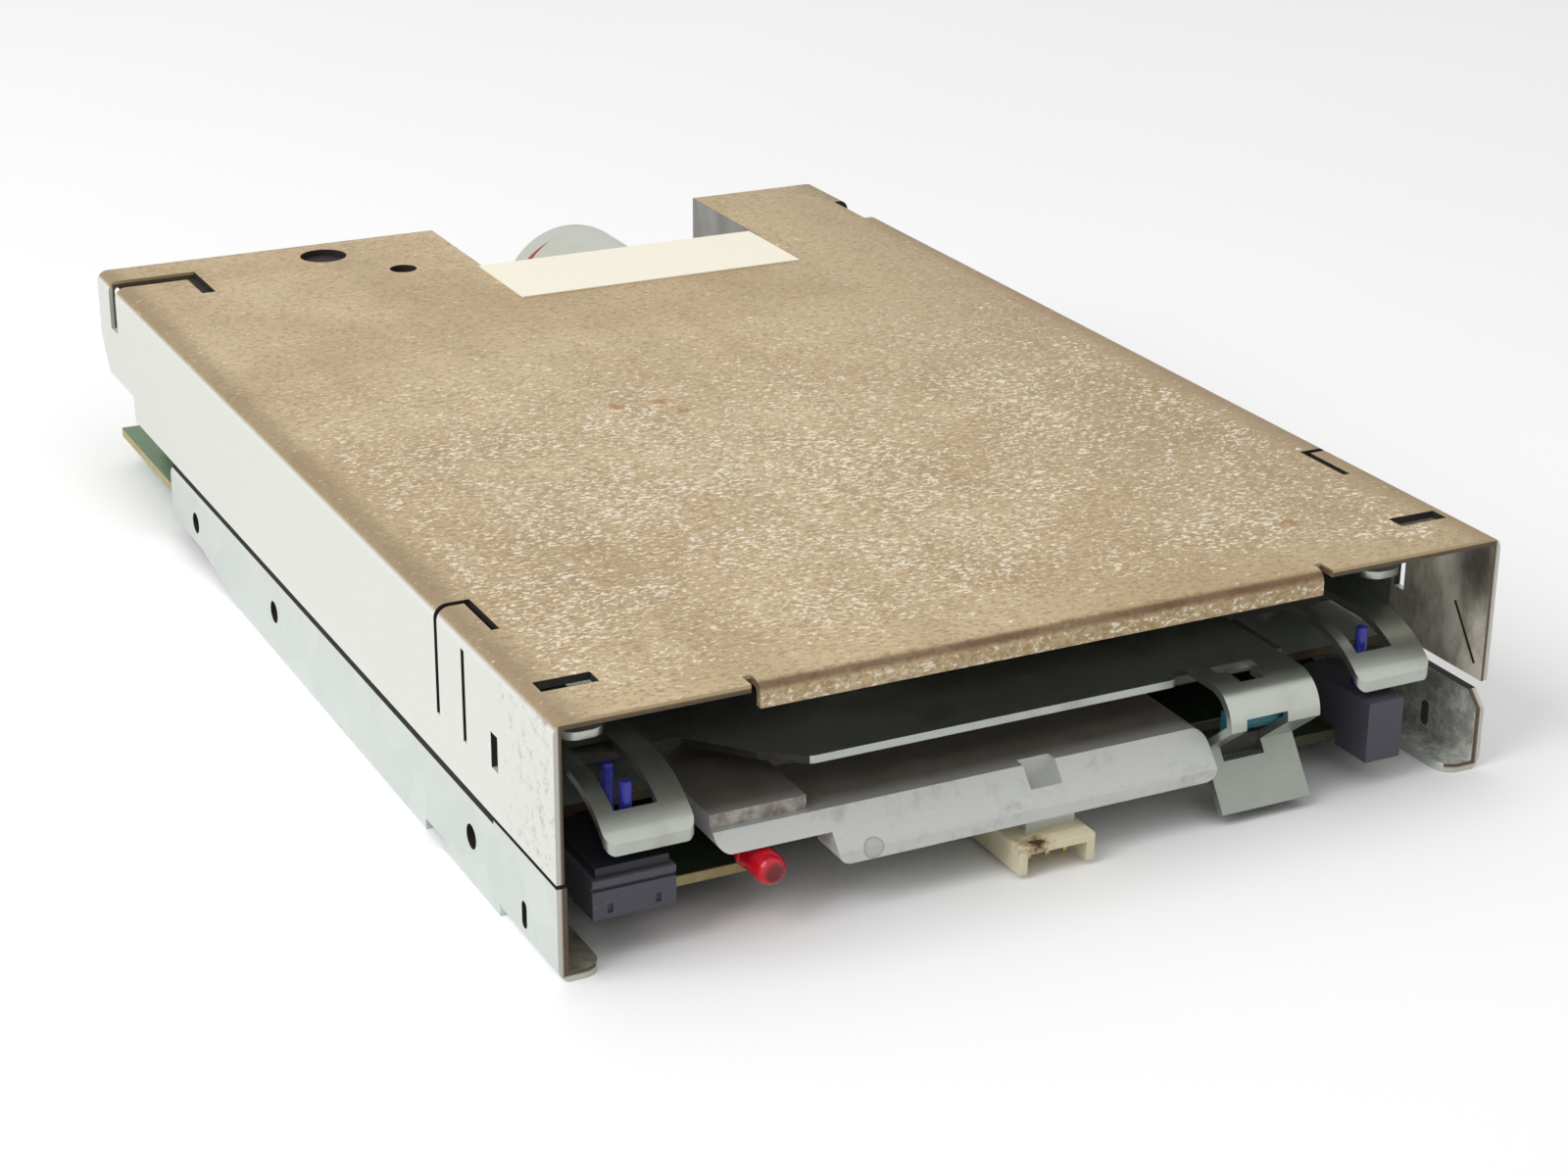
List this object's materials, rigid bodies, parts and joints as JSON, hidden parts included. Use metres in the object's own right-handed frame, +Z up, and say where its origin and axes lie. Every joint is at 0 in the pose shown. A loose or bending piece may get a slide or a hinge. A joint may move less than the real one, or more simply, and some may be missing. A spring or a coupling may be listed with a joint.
{
  "type": "floppy disk drive",
  "caption": "Slim disk drive chassis with a sheet steel cover, disk holder, eject slide, spindle and stepping head carriage, open at the front for a disk.",
  "frame": {"origin": "on the surface the drive rests on, under the middle of its box", "axes": "+X to the right seen from the front, +Y towards the rear, +Z up"},
  "size_m": [0.1016, 0.151, 0.0256],
  "materials": {
    "cover_steel": "chromated sheet steel, tan with a fine sparkle",
    "base_steel": "galvanised sheet steel",
    "holder_steel": "nickel plated sheet steel, pale green-grey",
    "cast_aluminium": "die-cast aluminium, light grey",
    "bright_steel": "ground steel",
    "motor_steel": "zinc plated drawn steel",
    "sleeve_bronze": "sintered bronze",
    "contact_metal": "gold flashed pins",
    "coil_copper": "enamelled copper wire",
    "magnet_rubber": "bonded ferrite",
    "board_laminate": "green solder mask on glass laminate",
    "black_plastic": "black moulded plastic",
    "switch_plastic": "lilac-grey moulded plastic",
    "plunger_plastic": "blue moulded acetal",
    "lamp_red": "red lens",
    "header_cream": "cream moulded nylon",
    "tape_paper": "cream paper strip",
    "carriage_plastic": "glass filled black plastic",
    "lever_plastic": "white acetal",
    "head_ceramic": "lapped ceramic",
    "clip_plastic": "teal moulded plastic"
  },
  "bodies": {
    "chassis": {"top_cover": "cover_steel", "paper_tape": "tape_paper", "base_frame": "base_steel", "front_casting": "cast_aluminium", "casting_screws": "bright_steel", "control_board": "board_laminate", "board_spacers": "sleeve_bronze", "board_screws": "bright_steel", "board_chips": "black_plastic", "interface_header": "black_plastic", "interface_pins": "contact_metal", "power_header": "header_cream", "power_pins": "contact_metal", "front_header_shell": "header_cream", "front_header_pins": "contact_metal", "left_switch_block": "switch_plastic", "left_switch_cap": "black_plastic", "right_switch_block": "switch_plastic", "indicator_lamp": "lamp_red", "lamp_leads": "bright_steel", "spindle_bearing": "sleeve_bronze", "stator_coils": "coil_copper", "motor_bracket": "base_steel", "stepper_motor": "motor_steel", "motor_screws": "bright_steel", "lead_screw_support": "black_plastic", "guide_rod": "bright_steel", "guide_rod_post": "cast_aluminium", "track_sensor": "black_plastic", "left_slide_spring": "bright_steel", "right_slide_spring": "bright_steel"},
    "spindle": {"rotor_magnet": "magnet_rubber", "rotor_yoke": "motor_steel", "spindle_shaft": "bright_steel", "hub_platter": "bright_steel", "drive_pin": "bright_steel"},
    "screw": {"lead_screw": "bright_steel"},
    "carriage": {"head_carriage": "carriage_plastic", "arm_pivot_pin": "bright_steel", "lower_head": "head_ceramic"},
    "arm": {"upper_arm": "holder_steel", "upper_head": "head_ceramic"},
    "slide": {"slide_plate": "holder_steel", "button_clip": "clip_plastic"},
    "holder": {"disk_holder": "holder_steel", "holder_pins": "bright_steel", "lever_stud": "bright_steel"},
    "lever": {"shutter_lever": "lever_plastic"},
    "write_protect": {"write_protect_plunger": "plunger_plastic"},
    "density": {"density_plunger": "plunger_plastic"},
    "disk_in": {"disk_in_plunger": "plunger_plastic"}
  },
  "joints": [
    {"name": "eject_slide", "type": "slide", "parent": "chassis", "child": "slide", "axis": [0, 1, 0], "range_m": [0, 0.005], "stiffness_N_per_m": 150, "springref_m": -0.01},
    {"name": "holder_lift", "type": "slide", "parent": "chassis", "child": "holder", "axis": [0, 0, 1], "range_m": [0, 0.0026]},
    {"name": "shutter_swing", "type": "hinge", "parent": "holder", "child": "lever", "pos_m": [-0.038, 0.0225, 0.017], "axis": [0, 0, 1], "range_deg": [0, 30], "stiffness_Nm_per_rad": 0.0005, "springref_deg": -11.46},
    {"name": "lead_screw_spin", "type": "hinge", "parent": "chassis", "child": "screw", "pos_m": [0.0132, 0.0375, 0.0144], "axis": [0, 1, 0], "range_deg": [0, 1425]},
    {"name": "carriage_travel", "type": "slide", "parent": "chassis", "child": "carriage", "axis": [0, -1, 0], "range_m": [0, 0.0148]},
    {"name": "upper_arm_lift", "type": "hinge", "parent": "carriage", "child": "arm", "pos_m": [0, 0.0435, 0.0186], "axis": [-1, 0, 0], "range_deg": [0, 8.15]},
    {"name": "spindle_spin", "type": "hinge", "parent": "chassis", "child": "spindle", "pos_m": [0, -0.0265, 0.01], "axis": [0, 0, 1], "continuous": true},
    {"name": "write_protect_press", "type": "slide", "parent": "chassis", "child": "write_protect", "axis": [0, 0, -1], "range_m": [0, 0.0012], "stiffness_N_per_m": 30, "springref_m": -0.001},
    {"name": "density_press", "type": "slide", "parent": "chassis", "child": "density", "axis": [0, 0, -1], "range_m": [0, 0.0012], "stiffness_N_per_m": 30, "springref_m": -0.001},
    {"name": "disk_in_press", "type": "slide", "parent": "chassis", "child": "disk_in", "axis": [0, 0, -1], "range_m": [0, 0.0012], "stiffness_N_per_m": 30, "springref_m": -0.001}
  ],
  "couplings": [
    {"joint": "holder_lift", "follows": "eject_slide", "ratio": 0.52},
    {"joint": "upper_arm_lift", "follows": "eject_slide", "rad_per_m": 28.27},
    {"joint": "lead_screw_spin", "follows": "carriage_travel", "rad_per_m": 1675.5}
  ]
}
